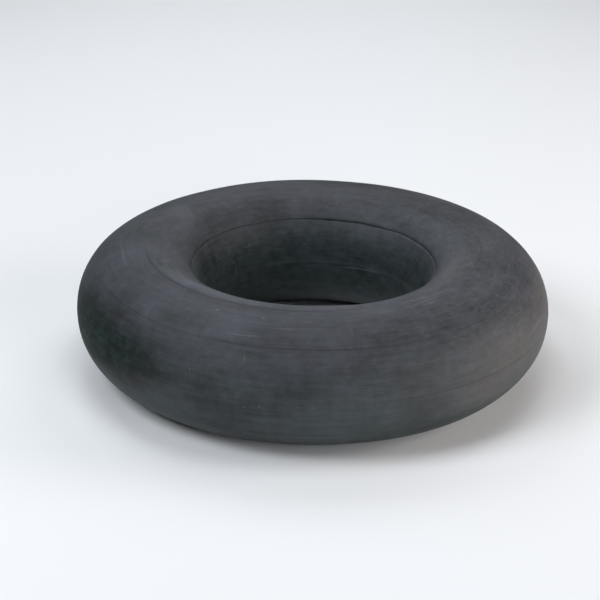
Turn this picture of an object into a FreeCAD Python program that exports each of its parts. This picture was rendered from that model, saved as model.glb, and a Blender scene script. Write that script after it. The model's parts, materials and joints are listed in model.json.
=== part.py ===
import FreeCAD, Part
import math
import os
import types

import Sketcher

# A truck-size butyl rubber inner tube, blown up and lying on its side, with its bent brass valve.
# Millimetres, +Z up. The origin is the middle of the ring at the level that the tube rests on.
# The tube is a hollow ring about +Z. The valve stands on the inner wall on the -Y side: it leaves
# the wall along +Y and bends down along -Z, so its mouth, core and cap share one upright axis.

doc = FreeCAD.newDocument("inner_tube")
sheet = doc.addObject("Spreadsheet::Sheet", "sizes")

DRIVING_SIZES = [
    # the ring's section
    ("outer_radius", 525.0),
    ("crown_radius", 375.7),
    ("inner_radius", 243.6),
    ("mid_height", 141.3),
    ("contact_depth", 0.8),
    ("shoulder_radius", 476.7),
    ("shoulder_rise", 106.6),
    ("crease_radius", 271.0),
    ("crease_rise", 94.7),
    ("wall", 2.2),
    ("patch_diameter", 36.0),
    ("patch_rise", 2.4),
    # the rubber pad round the valve's foot
    ("pad_diameter", 78.0),
    ("pad_thickness", 3.2),
    ("seat_diameter", 50.0),
    ("seat_rise", 6.5),
    # what clamps the foot to the pad
    ("bridge_length", 44.0),
    ("bridge_width", 25.0),
    ("bridge_thickness", 2.0),
    ("ring_diameter", 22.0),
    ("ring_thickness", 1.4),
    ("nut_corners", 21.9),
    ("nut_flats", 18.966),
    ("nut_height", 5.5),
    ("nut_bevel", 0.88),
    ("foot_diameter", 30.0),
    ("foot_thickness", 2.5),
    ("foot_thread", 12.2),
    ("foot_end", 2.6),
    # the stem
    ("stem_diameter", 10.3),
    ("bend_radius", 16.0),
    ("straight_length", 61.7),
    ("shoulder_taper", 1.3),
    ("mouth_thread", 7.7),
    ("mouth_length", 12.0),
    ("mouth_chamfer", 0.4),
    ("airway", 3.2),
    ("core_bore", 5.2),
    ("core_bore_depth", 6.4),
    ("chamber_bore", 4.0),
    ("chamber_taper", 1.2),
    ("chamber_depth", 19.0),
    # the core, measured up from the stem's mouth
    ("plug_diameter", 5.1),
    ("plug_inside", 3.4),
    ("plug_start", 0.8),
    ("plug_end", 5.2),
    ("plug_bar_width", 1.8),
    ("plug_bar_height", 1.6),
    ("collar_diameter", 4.0),
    ("collar_start", 5.25),
    ("barrel_diameter", 3.4),
    ("barrel_inside", 2.4),
    ("barrel_floor_start", 13.4),
    ("barrel_end", 14.0),
    ("barrel_floor_bore", 1.4),
    ("lip_inside", 2.0),
    ("lip_outside", 2.6),
    ("lip_end", 14.4),
    ("cone_gasket_top", 5.1),
    ("cone_gasket_length", 1.9),
    ("cone_gasket_bevel", 0.1),
    ("pin_diameter", 0.9),
    ("pin_start", 0.1),
    ("pin_end", 15.9),
    ("pin_chamfer", 0.15),
    ("pin_collar", 2.0),
    ("pin_collar_start", 6.6),
    ("pin_collar_end", 7.2),
    ("spring_diameter", 1.75),
    ("spring_wire", 0.28),
    ("spring_turns", 8.0),
    ("cup_diameter", 3.2),
    ("cup_inside", 2.8),
    ("cup_floor", 15.3),
    ("cup_end", 16.0),
    ("cup_skirt_gap", 0.2),
    # the cap
    ("cap_diameter", 9.8),
    ("cap_inside", 7.9),
    ("cap_closed_end", 3.0),
    ("cap_floor", 1.4),
    ("cap_open_end", 7.2),
    ("cap_chamfer", 0.8),
    ("cap_gasket_diameter", 7.6),
    ("cap_gasket_thickness", 1.25),
    # fits
    ("running_gap", 0.05),
    ("seal_gap", 0.02),
]


class Size:
    """A length that knows both its value and the spreadsheet formula that gives it."""

    def __init__(self, value, formula):
        self.value = value
        self.formula = formula

    def joined(self, other, sign, value):
        right = other.formula if isinstance(other, Size) else repr(other)
        return Size(value, "(" + self.formula + " " + sign + " " + right + ")")

    def __add__(self, other):
        return self.joined(other, "+", self.value + number(other))

    def __sub__(self, other):
        return self.joined(other, "-", self.value - number(other))

    def __mul__(self, other):
        return self.joined(other, "*", self.value * number(other))

    def __truediv__(self, other):
        return self.joined(other, "/", self.value / number(other))

    def __neg__(self):
        return Size(-self.value, "(0 - " + self.formula + ")")


def number(length):
    return length.value if isinstance(length, Size) else float(length)


size = types.SimpleNamespace()
for row, (alias, millimetres) in enumerate(DRIVING_SIZES, start=1):
    sheet.set("A" + str(row), alias)
    sheet.set("B" + str(row), str(millimetres))
    sheet.setAlias("B" + str(row), alias)
    setattr(size, alias, Size(millimetres, "sizes." + alias))
doc.recompute()

ZERO = Size(0.0, "0")
nodes = []


def bind(item, path, length):
    """Ties one property of an object to its formula."""
    item.setExpression(path, length.formula)


def place(item, x=ZERO, y=ZERO, z=ZERO):
    for letter, length in (("x", x), ("y", y), ("z", z)):
        setattr(item.Placement.Base, letter, length.value)
        bind(item, "Placement.Base." + letter, length)


def turn(item, axis, degrees):
    item.Placement.Rotation = FreeCAD.Rotation(FreeCAD.Vector(*axis), degrees)


def finished(item, label):
    """Marks an object as one of the sub-parts and gives it the name of its file."""
    item.Label = label
    nodes.append(item)
    return item


# ---------------------------------------------------------------- shared ways of making a piece


def add_body(name):
    return doc.addObject("PartDesign::Body", name)


def add_sketch(body, name, role):
    plane = next(f for f in body.Origin.OriginFeatures if f.Role == role)
    sketch = body.newObject("Sketcher::SketchObject", name)
    sketch.AttachmentSupport = [(plane, "")]
    sketch.MapMode = "FlatFace"
    return sketch


def hold(sketch, kind, geometry, point, length):
    """Holds one point of a sketch at a distance from the sketch's origin."""
    if length.formula == "0":
        axis = -2 if kind == "DistanceX" else -1
        sketch.addConstraint(Sketcher.Constraint("PointOnObject", geometry, point, axis))
        return
    rule = Sketcher.Constraint(kind, -1, 1, geometry, point, length.value)
    index = sketch.addConstraint(rule)
    sketch.setExpression("Constraints[" + str(index) + "]", length.formula)


def outline(sketch, corners):
    """A closed outline of straight sides, with every corner held by a formula."""
    count = len(corners)
    for index in range(count):
        here = corners[index]
        there = corners[(index + 1) % count]
        start = FreeCAD.Vector(here[0].value, here[1].value, 0)
        end = FreeCAD.Vector(there[0].value, there[1].value, 0)
        sketch.addGeometry(Part.LineSegment(start, end), False)
    for index in range(count):
        following = (index + 1) % count
        sketch.addConstraint(Sketcher.Constraint("Coincident", index, 2, following, 1))
    for index, (across, up) in enumerate(corners):
        hold(sketch, "DistanceX", index, 1, across)
        hold(sketch, "DistanceY", index, 1, up)


def turned(name, corners):
    """A piece turned on a lathe: an outline of (radius, height) corners spun about +Z."""
    body = add_body(name)
    profile = add_sketch(body, name + "_profile", "XZ_Plane")
    outline(profile, corners)
    spin = body.newObject("PartDesign::Revolution", name + "_turning")
    spin.Profile = profile
    spin.ReferenceAxis = (profile, ["V_Axis"])
    spin.Angle = 360.0
    body.Tip = spin
    return body


def tube_of(name, inside, outside, low, high):
    """A turned sleeve; inside and outside are diameters."""
    corners = [(inside / 2, low), (outside / 2, low), (outside / 2, high), (inside / 2, high)]
    return turned(name, corners)


def cylinder(name, diameter, height):
    item = doc.addObject("Part::Cylinder", name)
    bind(item, "Radius", diameter / 2)
    bind(item, "Height", height)
    return item


def fuse(name, items):
    item = doc.addObject("Part::MultiFuse", name)
    item.Shapes = items
    return item


def cut(name, base, tool):
    item = doc.addObject("Part::Cut", name)
    item.Base = base
    item.Tool = tool
    return item


def common(name, items):
    item = doc.addObject("Part::MultiCommon", name)
    item.Shapes = items
    return item


# ---------------------------------------------------------------- places that the pieces share

half_height = size.mid_height + size.contact_depth
wall_face = -size.inner_radius
seat_face = wall_face + size.seat_rise
bridge_face = seat_face + size.bridge_thickness
ring_face = bridge_face + size.ring_thickness
nut_face = ring_face + size.nut_height
bend_start = nut_face + size.foot_end
stem_line = bend_start + size.bend_radius
# the patch starts inside the wall, so that it joins the wall and stays under the skin
patch_start = wall_face - size.wall * 0.55
patch_face = wall_face - size.wall - size.patch_rise
straight_top = size.mid_height - size.bend_radius
shoulder_level = straight_top - size.straight_length
mouth_level = shoulder_level - size.shoulder_taper - size.mouth_length


# ---------------------------------------------------------------- the rubber ring


def arc_radius(depth, rise):
    """The radius of an arc that falls by depth over rise, measured from its flattest point."""
    return (depth * depth + rise * rise) / (depth * 2)


tread_arc = arc_radius(size.outer_radius - size.shoulder_radius, size.shoulder_rise)
rim_arc = arc_radius(size.crease_radius - size.inner_radius, size.crease_rise)
shoulder_drop = half_height - size.shoulder_rise
crease_drop = half_height - size.crease_rise
outer_side_arc = arc_radius(shoulder_drop, size.shoulder_radius - size.crown_radius)
inner_side_arc = arc_radius(crease_drop, size.crown_radius - size.crease_radius)

tread_centre = size.outer_radius - tread_arc
rim_centre = size.inner_radius + rim_arc
outer_side_rise = half_height - outer_side_arc
inner_side_rise = half_height - inner_side_arc


def arc_between(centre, start, end):
    """A counter-clockwise arc from start to end, all three given as (across, up)."""
    radius = math.hypot(start[0] - centre[0], start[1] - centre[1])
    first = math.atan2(start[1] - centre[1], start[0] - centre[0])
    last = math.atan2(end[1] - centre[1], end[0] - centre[0])
    if last < first:
        last += 2 * math.pi
    circle = Part.Circle(FreeCAD.Vector(centre[0], centre[1], 0), FreeCAD.Vector(0, 0, 1), radius)
    return Part.ArcOfCircle(circle, first, last)


def section_loop(sketch, first, inset):
    """Six arcs round the ring's section, drawn inset from the outer skin."""
    middle = size.mid_height
    depth = inset.value
    centres = [
        (tread_centre, middle),
        (size.crown_radius, middle + outer_side_rise),
        (size.crown_radius, middle + inner_side_rise),
        (rim_centre, middle),
        (size.crown_radius, middle - inner_side_rise),
        (size.crown_radius, middle - outer_side_rise),
    ]
    # joints between the arcs: lower shoulder, upper shoulder, crown, upper crease, lower crease, sole
    joints = [
        (size.shoulder_radius, middle - size.shoulder_rise, -0.7, 0.7),
        (size.shoulder_radius, middle + size.shoulder_rise, -0.7, -0.7),
        (size.crown_radius, middle + half_height, 0.0, -1.0),
        (size.crease_radius, middle + size.crease_rise, 0.8, -0.6),
        (size.crease_radius, middle - size.crease_rise, 0.8, 0.6),
        (size.crown_radius, middle - half_height, 0.0, 1.0),
    ]
    corners = [(x.value + depth * dx, y.value + depth * dy) for x, y, dx, dy in joints]
    for index, centre in enumerate(centres):
        start = corners[index]
        end = corners[(index + 1) % len(corners)]
        arc = arc_between((centre[0].value, centre[1].value), start, end)
        sketch.addGeometry(arc, False)
    for index in range(len(centres)):
        here = first + index
        following = first + (index + 1) % len(centres)
        sketch.addConstraint(Sketcher.Constraint("Coincident", here, 2, following, 1))
        hold(sketch, "DistanceX", here, 3, centres[index][0])
        hold(sketch, "DistanceY", here, 3, centres[index][1])
    for index, radius in ((0, tread_arc), (1, outer_side_arc), (3, rim_arc), (5, outer_side_arc)):
        reach = radius - inset
        rule = Sketcher.Constraint("Radius", first + index, reach.value)
        place_in_list = sketch.addConstraint(rule)
        sketch.setExpression("Constraints[" + str(place_in_list) + "]", reach.formula)
    # the two side arcs of each face meet level, straight above and below the crown circle
    hold(sketch, "DistanceX", first + 1, 2, size.crown_radius)
    hold(sketch, "DistanceX", first + 4, 2, size.crown_radius)


def make_tube():
    body = add_body("tube_body")
    section = add_sketch(body, "tube_section", "XZ_Plane")
    section_loop(section, 0, ZERO)
    section_loop(section, 6, size.wall)
    doc.recompute()
    spin = body.newObject("PartDesign::Revolution", "tube_ring")
    spin.Profile = section
    spin.ReferenceAxis = (section, ["V_Axis"])
    spin.Angle = 360.0
    doc.recompute()

    # the narrow ring on which the tube rests, pressed flat by its own weight
    rest = add_sketch(body, "tube_rest_outline", "XY_Plane")
    limit_radius = size.outer_radius
    rest.addGeometry(Part.Circle(FreeCAD.Vector(), FreeCAD.Vector(0, 0, 1), limit_radius.value), False)
    rest.addConstraint(Sketcher.Constraint("Coincident", 0, 3, -1, 1))
    limit = rest.addConstraint(Sketcher.Constraint("Radius", 0, limit_radius.value))
    rest.setExpression("Constraints[" + str(limit) + "]", limit_radius.formula)
    flat = body.newObject("PartDesign::Pocket", "tube_rest")
    flat.Profile = rest
    bind(flat, "Length", size.contact_depth * 2)
    doc.recompute()

    # a thicker patch inside the wall, where the valve's foot is clamped
    patch = add_sketch(body, "tube_patch_outline", "XZ_Plane")
    disc(patch, size.patch_diameter, size.mid_height)
    set_back(patch, -patch_start)
    boss = body.newObject("PartDesign::Pad", "tube_patch")
    boss.Profile = patch
    bind(boss, "Length", patch_start - patch_face)
    doc.recompute()

    hole = add_sketch(body, "tube_hole_outline", "XZ_Plane")
    disc(hole, size.foot_thread + size.running_gap * 2, size.mid_height)
    set_back(hole, -(wall_face + size.wall))
    drill = body.newObject("PartDesign::Pocket", "tube_valve_hole")
    drill.Profile = hole
    drill.Reversed = True
    bind(drill, "Length", size.wall * 3 + size.patch_rise)
    body.Tip = drill
    return finished(body, "tube_body")


def disc(sketch, diameter, height):
    """A circle on a sketch, height above the sketch's origin."""
    middle = FreeCAD.Vector(0, height.value, 0)
    ring = Part.Circle(middle, FreeCAD.Vector(0, 0, 1), diameter.value / 2)
    index = sketch.addGeometry(ring, False)
    hold(sketch, "DistanceX", index, 3, ZERO)
    hold(sketch, "DistanceY", index, 3, height)
    rule = sketch.addConstraint(Sketcher.Constraint("Radius", index, diameter.value / 2))
    sketch.setExpression("Constraints[" + str(rule) + "]", (diameter / 2).formula)


def set_back(sketch, distance):
    """Moves an upright sketch towards -Y, which is the way its plane faces."""
    sketch.AttachmentOffset.Base.z = distance.value
    bind(sketch, "AttachmentOffset.Base.z", distance)


# ---------------------------------------------------------------- pad, washers and nut


def along_y(item, start):
    """Turns an upright primitive so that its length runs along +Y from start, at mid height."""
    turn(item, (1, 0, 0), -90)
    place(item, ZERO, start, size.mid_height)
    return item


def rim_surface(name, grown):
    """The ring whose skin is the tube's inner wall between its two creases, grown outwards."""
    ring = doc.addObject("Part::Torus", name)
    bind(ring, "Radius1", rim_centre)
    bind(ring, "Radius2", rim_arc + grown)
    place(ring, ZERO, ZERO, size.mid_height)
    return ring


def make_pad():
    blank_start = wall_face - size.pad_thickness * 3
    disc_blank = along_y(cylinder("pad_blank", size.pad_diameter, size.pad_thickness * 6), blank_start)
    skin = common("pad_skin", [disc_blank, rim_surface("pad_skin_ring", size.pad_thickness)])
    seat_start = wall_face - size.pad_thickness
    seat = along_y(
        cylinder("pad_seat", size.seat_diameter, size.seat_rise + size.pad_thickness), seat_start
    )
    whole = fuse("pad_whole", [skin, seat])
    hollowed = cut("pad_hollowed", whole, rim_surface("pad_wall_ring", ZERO))
    hole_size = size.foot_thread + size.running_gap * 2
    hole = along_y(cylinder("pad_hole", hole_size, size.pad_thickness * 6), blank_start)
    return finished(cut("valve_pad", hollowed, hole), "valve_pad")


def make_bridge_washer():
    body = add_body("bridge_washer")
    sketch = add_sketch(body, "bridge_outline", "XZ_Plane")
    reach = (size.bridge_length - size.bridge_width) / 2
    end_radius = size.bridge_width / 2
    up = FreeCAD.Vector(0, 0, 1)
    right = Part.Circle(FreeCAD.Vector(reach.value, 0, 0), up, end_radius.value)
    left = Part.Circle(FreeCAD.Vector(-reach.value, 0, 0), up, end_radius.value)
    quarter = math.pi / 2
    sketch.addGeometry(Part.ArcOfCircle(right, -quarter, quarter), False)
    top_right = FreeCAD.Vector(reach.value, end_radius.value, 0)
    top_left = FreeCAD.Vector(-reach.value, end_radius.value, 0)
    sketch.addGeometry(Part.LineSegment(top_right, top_left), False)
    sketch.addGeometry(Part.ArcOfCircle(left, quarter, 3 * quarter), False)
    low_left = FreeCAD.Vector(-reach.value, -end_radius.value, 0)
    low_right = FreeCAD.Vector(reach.value, -end_radius.value, 0)
    sketch.addGeometry(Part.LineSegment(low_left, low_right), False)
    for index in range(4):
        following = (index + 1) % 4
        sketch.addConstraint(Sketcher.Constraint("Coincident", index, 2, following, 1))
    hold(sketch, "DistanceX", 0, 3, reach)
    hold(sketch, "DistanceY", 0, 3, ZERO)
    hold(sketch, "DistanceX", 2, 3, -reach)
    hold(sketch, "DistanceY", 2, 3, ZERO)
    hold(sketch, "DistanceY", 1, 1, end_radius)
    hold(sketch, "DistanceY", 1, 2, end_radius)
    for line, point, side in ((1, 1, 1), (1, 2, -1), (3, 1, -1), (3, 2, 1)):
        hold(sketch, "DistanceX", line, point, reach * side)
    disc(sketch, size.foot_thread + size.running_gap * 4, ZERO)
    plate = body.newObject("PartDesign::Pad", "bridge_plate")
    plate.Profile = sketch
    plate.Reversed = True
    bind(plate, "Length", size.bridge_thickness)
    body.Tip = plate
    place(body, ZERO, seat_face, size.mid_height)
    return finished(body, "bridge_washer")


def make_ring_washer():
    inside = size.foot_thread + size.running_gap * 4
    body = tube_of("ring_washer", inside, size.ring_diameter, ZERO, size.ring_thickness)
    along_y(body, bridge_face)
    return finished(body, "ring_washer")


def make_nut():
    prism = doc.addObject("Part::Prism", "nut_prism")
    prism.Polygon = 6
    bind(prism, "Circumradius", size.nut_corners / 2)
    bind(prism, "Height", size.nut_height)
    flat_radius = size.nut_flats / 2
    clear_radius = size.nut_corners / 2 + size.running_gap * 2
    corners = [
        (ZERO, ZERO),
        (flat_radius, ZERO),
        (clear_radius, size.nut_bevel),
        (clear_radius, size.nut_height - size.nut_bevel),
        (flat_radius, size.nut_height),
        (ZERO, size.nut_height),
    ]
    blank = turned("nut_bevels", corners)
    shaped = common("nut_shaped", [prism, blank])
    hole = cylinder("nut_hole", size.foot_thread + size.running_gap * 2, size.nut_height * 2)
    place(hole, ZERO, ZERO, -(size.nut_height / 2))
    nut = cut("clamp_nut", shaped, hole)
    along_y(nut, ring_face)
    return finished(nut, "clamp_nut")


# ---------------------------------------------------------------- the stem


def quarter_bend(name, diameter):
    """A quarter turn of pipe from +Y to -Z."""
    bend = doc.addObject("Part::Torus", name)
    bind(bend, "Radius1", size.bend_radius)
    bind(bend, "Radius2", diameter / 2)
    bend.Angle3 = 90.0
    bend.Placement.Rotation = FreeCAD.Rotation(
        FreeCAD.Vector(0, 1, 0), FreeCAD.Vector(0, 0, 1), FreeCAD.Vector(1, 0, 0), "ZXY"
    )
    place(bend, ZERO, bend_start, straight_top)
    return bend


def make_stem():
    foot_start = patch_face - size.foot_thickness
    foot = along_y(cylinder("stem_foot", size.foot_diameter, size.foot_thickness), foot_start)
    shank_length = bend_start - foot_start
    shank = along_y(cylinder("stem_shank", size.foot_thread, shank_length), foot_start)
    bend = quarter_bend("stem_bend", size.stem_diameter)
    mouth_radius = size.mouth_thread / 2
    taper_top = size.mouth_length + size.shoulder_taper
    top = taper_top + size.straight_length
    straight = turned(
        "stem_straight",
        [
            (ZERO, ZERO),
            (mouth_radius - size.mouth_chamfer, ZERO),
            (mouth_radius, size.mouth_chamfer),
            (mouth_radius, size.mouth_length),
            (size.stem_diameter / 2, taper_top),
            (size.stem_diameter / 2, top),
            (ZERO, top),
        ],
    )
    place(straight, ZERO, stem_line, mouth_level)
    solid = fuse("stem_solid", [foot, shank, bend, straight])

    overrun = size.foot_thickness
    airway_in = along_y(
        cylinder("airway_foot", size.airway, shank_length + overrun), foot_start - overrun
    )
    airway_bend = quarter_bend("airway_bend", size.airway)
    chamber_top = size.chamber_depth
    airway_down = turned(
        "airway_down",
        [
            (ZERO, -overrun),
            (size.core_bore / 2, -overrun),
            (size.core_bore / 2, size.core_bore_depth),
            (size.chamber_bore / 2, size.core_bore_depth + size.chamber_taper),
            (size.chamber_bore / 2, chamber_top),
            (size.airway / 2, chamber_top + size.chamber_taper),
            (size.airway / 2, top),
            (ZERO, top),
        ],
    )
    place(airway_down, ZERO, stem_line, mouth_level)
    bores = fuse("stem_bores", [airway_in, airway_bend, airway_down])
    return finished(cut("valve_stem", solid, bores), "valve_stem")


def at_mouth(item):
    """Puts a piece that was drawn from the stem's mouth upwards where the mouth is."""
    place(item, ZERO, stem_line, mouth_level)
    return item


# ---------------------------------------------------------------- the core


def make_core():
    # the threaded plug: a ring with a bar across it, which guides the pin
    ring = tube_of(
        "plug_ring", size.plug_inside, size.plug_diameter, size.plug_start, size.plug_end
    )
    bar = doc.addObject("Part::Box", "plug_bar")
    bar_length = (size.plug_inside + size.plug_diameter) / 2
    bind(bar, "Length", bar_length)
    bind(bar, "Width", size.plug_bar_width)
    bind(bar, "Height", size.plug_bar_height)
    place(bar, -(bar_length / 2), -(size.plug_bar_width / 2), size.plug_start)
    guide = cylinder("plug_guide", size.pin_diameter + size.running_gap * 2, size.plug_end)
    plug = cut("core_plug", fuse("plug_whole", [ring, bar]), guide)
    finished(at_mouth(plug), "core_plug")

    # the barrel, which hangs from the plug and carries the two seals
    outside = size.barrel_diameter / 2
    inside = size.barrel_inside / 2
    barrel = turned(
        "core_barrel",
        [
            (inside, size.collar_start),
            (size.collar_diameter / 2, size.collar_start),
            (size.collar_diameter / 2, size.core_bore_depth),
            (outside, size.core_bore_depth),
            (outside, size.barrel_end),
            (size.lip_outside / 2, size.barrel_end),
            (size.lip_outside / 2, size.lip_end),
            (size.lip_inside / 2, size.lip_end),
            (size.lip_inside / 2, size.barrel_end),
            (size.barrel_floor_bore / 2, size.barrel_end),
            (size.barrel_floor_bore / 2, size.barrel_floor_start),
            (inside, size.barrel_floor_start),
        ],
    )
    finished(at_mouth(barrel), "core_barrel")

    gasket_low = size.core_bore_depth + size.seal_gap
    cone_foot = size.chamber_bore / 2 - size.seal_gap
    cone = turned(
        "barrel_gasket",
        [
            (outside, gasket_low),
            (size.cone_gasket_top / 2 - size.cone_gasket_bevel, gasket_low),
            (cone_foot, size.core_bore_depth + size.chamber_taper),
            (cone_foot, gasket_low + size.cone_gasket_length),
            (outside, gasket_low + size.cone_gasket_length),
        ],
    )
    finished(at_mouth(cone), "barrel_gasket")

    # the pin, with the collar that the spring pushes on
    stick = size.pin_diameter / 2
    pin = turned(
        "core_pin",
        [
            (ZERO, size.pin_start),
            (stick - size.pin_chamfer, size.pin_start),
            (stick, size.pin_start + size.pin_chamfer),
            (stick, size.pin_collar_start),
            (size.pin_collar / 2, size.pin_collar_start),
            (size.pin_collar / 2, size.pin_collar_end),
            (stick, size.pin_collar_end),
            (stick, size.pin_end),
            (ZERO, size.pin_end),
        ],
    )
    finished(at_mouth(pin), "core_pin")

    # the cup at the pin's inner end and the soft ring in it, which closes on the barrel's lip
    pin_hole = stick + size.seal_gap / 2
    skirt_edge = size.lip_end + size.cup_skirt_gap
    cup = turned(
        "core_cup",
        [
            (pin_hole, size.cup_floor),
            (size.cup_inside / 2, size.cup_floor),
            (size.cup_inside / 2, skirt_edge),
            (size.cup_diameter / 2, skirt_edge),
            (size.cup_diameter / 2, size.cup_end),
            (pin_hole, size.cup_end),
        ],
    )
    finished(at_mouth(cup), "core_cup")
    seal = tube_of(
        "cup_gasket",
        size.pin_diameter + size.seal_gap,
        size.cup_inside - size.seal_gap,
        size.lip_end + size.seal_gap,
        size.cup_floor,
    )
    finished(at_mouth(seal), "cup_gasket")


def make_spring():
    """The coil spring between the pin's collar and the barrel's floor."""
    helix = doc.addObject("Part::Helix", "spring_line")
    # the wire's middle stays a little over half a wire from what each end pushes on
    end_gap = size.spring_wire * 0.6
    rest_length = size.barrel_floor_start - size.pin_collar_end - end_gap * 2
    bind(helix, "Pitch", rest_length / size.spring_turns)
    bind(helix, "Height", rest_length)
    bind(helix, "Radius", size.spring_diameter / 2)
    wire = doc.addObject("Part::Circle", "spring_wire_section")
    bind(wire, "Radius", size.spring_wire / 2)
    turn(wire, (1, 0, 0), 90)
    place(wire, size.spring_diameter / 2)
    coil = doc.addObject("Part::Sweep", "core_spring")
    coil.Sections = [wire]
    coil.Spine = (helix, ["Edge1"])
    coil.Solid = True
    coil.Frenet = True
    start = mouth_level + size.pin_collar_end + end_gap
    place(coil, ZERO, stem_line, start)
    return finished(coil, "core_spring")


# ---------------------------------------------------------------- the cap


def make_cap():
    outside = size.cap_diameter / 2
    inside = size.cap_inside / 2
    closed = -size.cap_closed_end
    cap = turned(
        "valve_cap",
        [
            (ZERO, closed),
            (outside - size.cap_chamfer, closed),
            (outside, closed + size.cap_chamfer),
            (outside, size.cap_open_end),
            (inside, size.cap_open_end),
            (inside, -size.cap_floor),
            (ZERO, -size.cap_floor),
        ],
    )
    finished(at_mouth(cap), "valve_cap")
    low = size.seal_gap - size.cap_floor
    gasket = turned(
        "cap_gasket",
        [
            (ZERO, low),
            (size.cap_gasket_diameter / 2, low),
            (size.cap_gasket_diameter / 2, low + size.cap_gasket_thickness),
            (ZERO, low + size.cap_gasket_thickness),
        ],
    )
    finished(at_mouth(gasket), "cap_gasket")


make_tube()
make_pad()
make_bridge_washer()
make_ring_washer()
make_nut()
make_stem()
make_core()
make_spring()
make_cap()
doc.recompute()

# ---------------------------------------------------------------- check and write

for item in doc.Objects:
    if "Invalid" in item.State or "Error" in item.State:
        raise RuntimeError(item.Name + " failed: " + str(item.State))
os.makedirs("parts", exist_ok=True)
for item in nodes:
    shape = item.Shape
    if shape.isNull() or not shape.isValid():
        raise RuntimeError(item.Label + " has no valid shape")
    shape.exportStep("parts/" + item.Label + ".step")
    box = shape.optimalBoundingBox(True, False)
    sides = "%.1f x %.1f x %.1f mm" % (box.XLength, box.YLength, box.ZLength)
    print(item.Label, "solids", len(shape.Solids), "volume %.2f mm3" % shape.Volume, sides)
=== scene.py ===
# %% [markdown]
# # A blown-up inner tube
# The object is a large butyl rubber tube lying on its side: a hollow ring about a metre across, with a bent
# brass valve on its inner wall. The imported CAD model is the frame. It says how large everything is and
# where it sits. This file makes the surfaces that are seen: the rubber with its moulding lines, creases and
# dust, and the small turned pieces of the valve. All lengths are in metres, and +Z is up.

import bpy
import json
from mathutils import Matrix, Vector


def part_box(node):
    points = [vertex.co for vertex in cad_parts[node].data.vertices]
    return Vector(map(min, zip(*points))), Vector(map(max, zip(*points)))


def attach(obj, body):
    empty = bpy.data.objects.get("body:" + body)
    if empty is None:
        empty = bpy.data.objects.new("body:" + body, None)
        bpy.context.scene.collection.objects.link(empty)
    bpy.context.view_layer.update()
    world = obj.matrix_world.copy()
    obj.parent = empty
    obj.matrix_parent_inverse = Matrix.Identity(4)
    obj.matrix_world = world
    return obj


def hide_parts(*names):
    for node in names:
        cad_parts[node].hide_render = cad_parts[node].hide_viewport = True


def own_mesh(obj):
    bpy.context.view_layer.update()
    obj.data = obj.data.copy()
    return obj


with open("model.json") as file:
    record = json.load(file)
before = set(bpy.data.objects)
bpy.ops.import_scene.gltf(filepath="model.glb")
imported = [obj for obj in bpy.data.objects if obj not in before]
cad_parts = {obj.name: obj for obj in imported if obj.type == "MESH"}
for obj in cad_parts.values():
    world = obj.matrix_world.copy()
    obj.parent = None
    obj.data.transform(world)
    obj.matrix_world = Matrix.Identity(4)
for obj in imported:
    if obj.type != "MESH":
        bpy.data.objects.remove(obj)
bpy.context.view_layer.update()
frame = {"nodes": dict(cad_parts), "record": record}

# %% The modules that the cells share
import bisect
import json
import math
from functools import lru_cache

import bmesh
import bpy
from mathutils import Matrix, Vector, noise

MM = 0.001

# %% [markdown]
# ## The ring's measures
# The frame gives the outer size and the crown circle, which is where the flat mount lies. The section is a
# little fuller than an ellipse, because the air inside pushes the wall out evenly. Its outer half is wider
# than its inner half, because the rubber is stretched more on the outside of the ring.

# %% Read the ring's measures
tube_low, tube_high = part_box("tube_body")
mounts = {mount["name"]: mount for mount in frame["record"]["mounts"]}
OUTER = tube_high.x
CROWN = mounts["rest_ring"]["pos_m"][0]
INNER = 0.464 * OUTER
CONTACT_DEPTH = 0.8 * MM
HALF_HEIGHT = (tube_high.z + CONTACT_DEPTH) / 2
MID = tube_high.z - HALF_HEIGHT
OUTER_FULLNESS = 2.06
INNER_FULLNESS = 2.23


def fullness(across):
    """The exponent and half width of the section on the outer or the inner side of the crown."""
    if across >= 0:
        return OUTER_FULLNESS, OUTER - CROWN
    return INNER_FULLNESS, CROWN - INNER


def powered(value, power):
    return math.copysign(abs(value) ** power, value)


def section_point(angle):
    """Radius and height of the skin; angle 0 is the outermost line, 90 degrees the top, 180 the hole."""
    exponent, width = fullness(math.cos(angle))
    radius = CROWN + width * powered(math.cos(angle), 2 / exponent)
    height = MID + HALF_HEIGHT * powered(math.sin(angle), 2 / exponent)
    return radius, height


def section_angle(radius, height):
    """The section angle of a point of the skin: the way back from section_point."""
    exponent, width = fullness(radius - CROWN)
    across = powered((radius - CROWN) / width, exponent / 2)
    up = powered((height - MID) / HALF_HEIGHT, exponent / 2)
    return math.atan2(up, across)


def section_normal(angle):
    """The outward direction of the skin in the section, as (across, up)."""
    exponent, width = fullness(math.cos(angle))
    across = powered(math.cos(angle), 2 - 2 / exponent) / width
    up = powered(math.sin(angle), 2 - 2 / exponent) / HALF_HEIGHT
    length = math.hypot(across, up)
    return across / length, up / length


def bearing(x, y):
    """The angle round the ring: 0 on the -Y side, a quarter turn on the +X side."""
    return math.atan2(x, -y)


print("ring", round(OUTER, 4), "hole", round(INNER, 4), "crown", round(CROWN, 4), "middle", round(MID, 4))

# %% [markdown]
# ## Camera
# The tube is seen from a little above, through a long lens, so its near and far sides are almost the same
# size. The camera aims at the middle of the ring's equator. It leans by under a degree, and the lens is
# shifted a little, because the tube isn't quite in the middle of the frame.

# %% Place the camera
CAMERA_RISE = math.radians(23.62)
CAMERA_DISTANCE = 9.487 * OUTER
CAMERA_LEAN = math.radians(0.785)

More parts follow.
